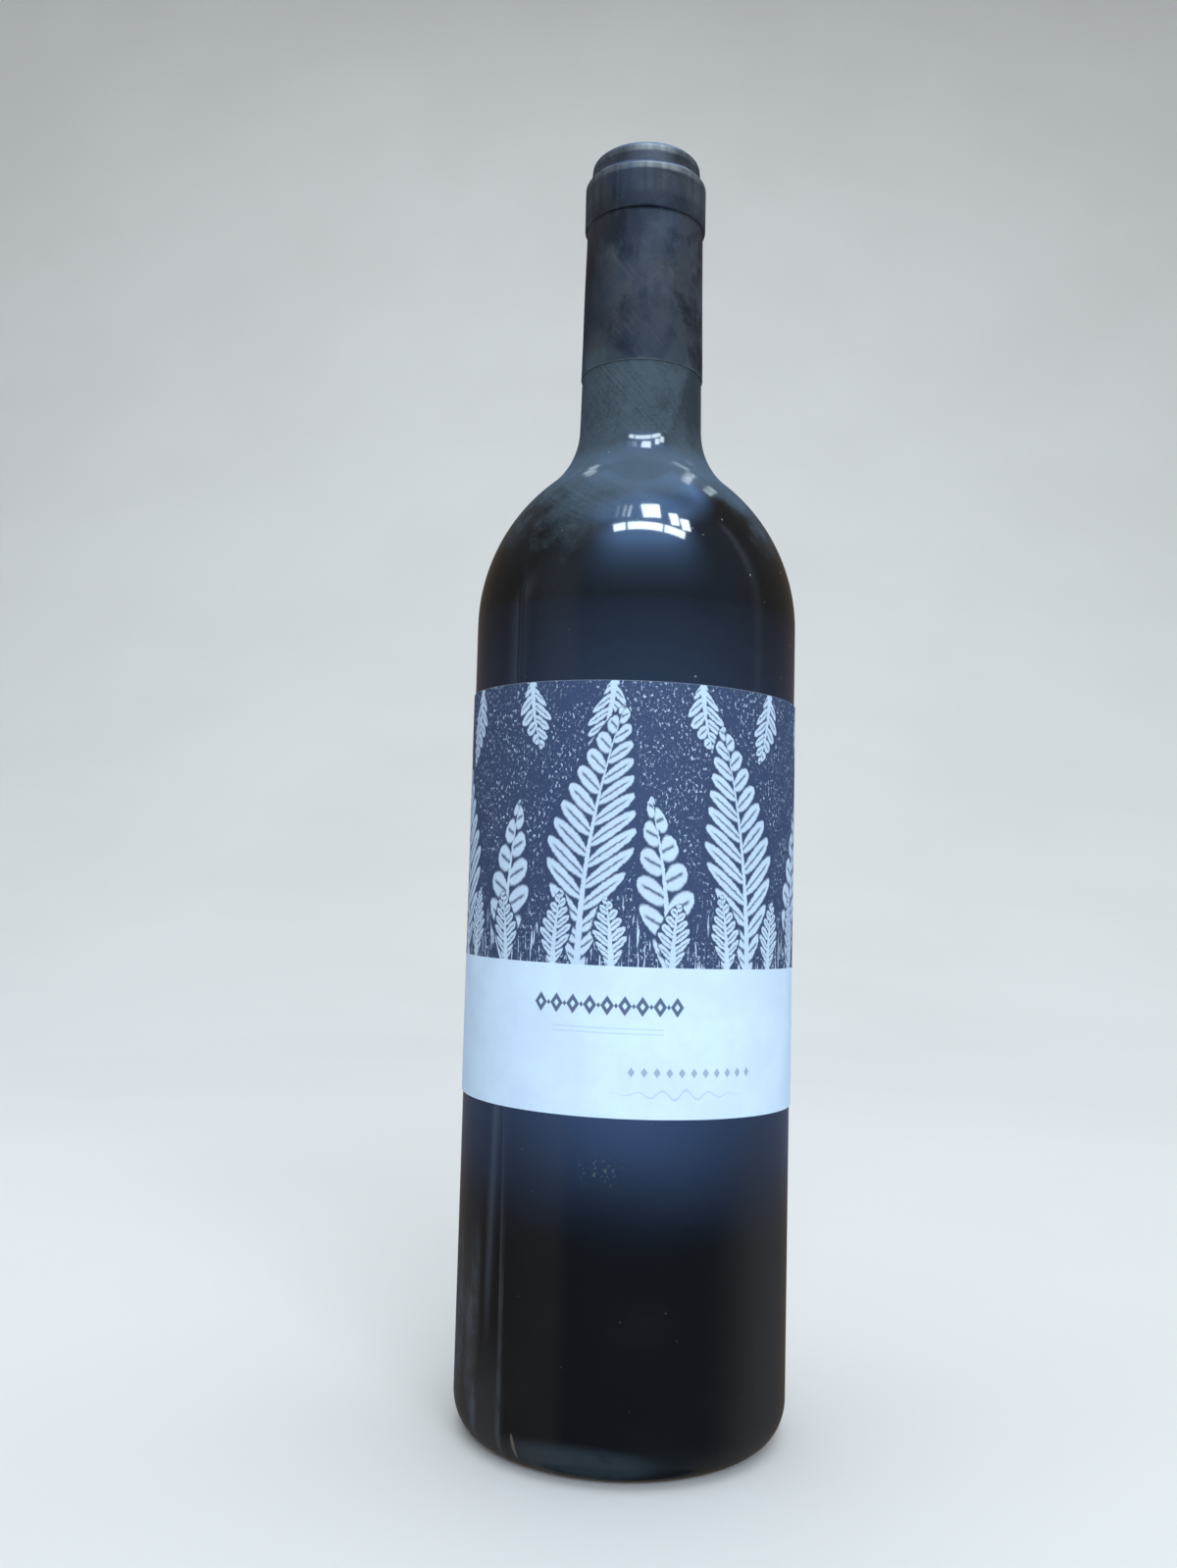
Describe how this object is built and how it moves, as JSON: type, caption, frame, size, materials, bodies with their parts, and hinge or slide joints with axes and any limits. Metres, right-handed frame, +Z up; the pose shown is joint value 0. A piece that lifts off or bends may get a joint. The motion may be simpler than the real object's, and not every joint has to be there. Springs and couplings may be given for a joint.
{
  "type": "wine bottle",
  "caption": "Shut round-shouldered wine bottle of dark glass with a black capsule over the neck and a wide two-tone paper label round the body.",
  "frame": {"origin": "centre of the standing ring, on the surface that the bottle stands on", "axes": "+Z up along the bottle's axis towards the mouth, -Y out of the middle of the label's front"},
  "size_m": [0.0768, 0.0765, 0.302],
  "materials": {
    "dark_glass": "glossy, near black, dusty at the shoulder and neck",
    "black_capsule": "satin black, dusty and scuffed",
    "label_paper": "uncoated paper, printed dark navy over its upper two thirds"
  },
  "bodies": {
    "root": {"glass_bottle": "dark_glass", "capsule": "black_capsule", "label": "label_paper"}
  },
  "joints": []
}
